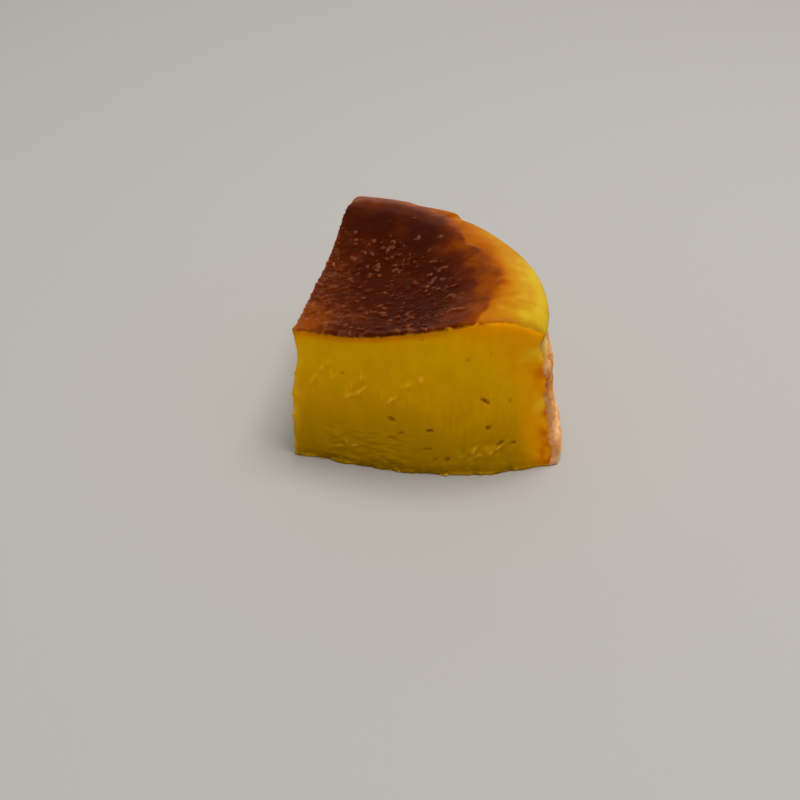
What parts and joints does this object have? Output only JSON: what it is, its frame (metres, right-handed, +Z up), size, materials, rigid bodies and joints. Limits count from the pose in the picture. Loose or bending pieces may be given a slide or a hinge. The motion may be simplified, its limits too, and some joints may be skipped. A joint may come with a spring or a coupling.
{
  "type": "cheesecake slice",
  "caption": "Slice of soft baked cheesecake with a dished browned top, a rolled yellow rim, a sharp crease below it, a sagging browned wall and knife-cut custard faces.",
  "frame": {"origin": "middle of the slice's bounding box in plan, on the surface that the slice stands on", "axes": "+Z up; +X from the slice's tip towards the rim end of the near cut; +Y away from the near cut, towards the far end of the rim"},
  "size_m": [0.0648, 0.0804, 0.0415],
  "materials": {
    "baked_custard": "soft baked custard, golden yellow where cut, dark red-brown and glossy on the baked top, orange-tan and rough on the wall"
  },
  "bodies": {
    "root": {"cheesecake_slice": "baked_custard"}
  },
  "joints": []
}
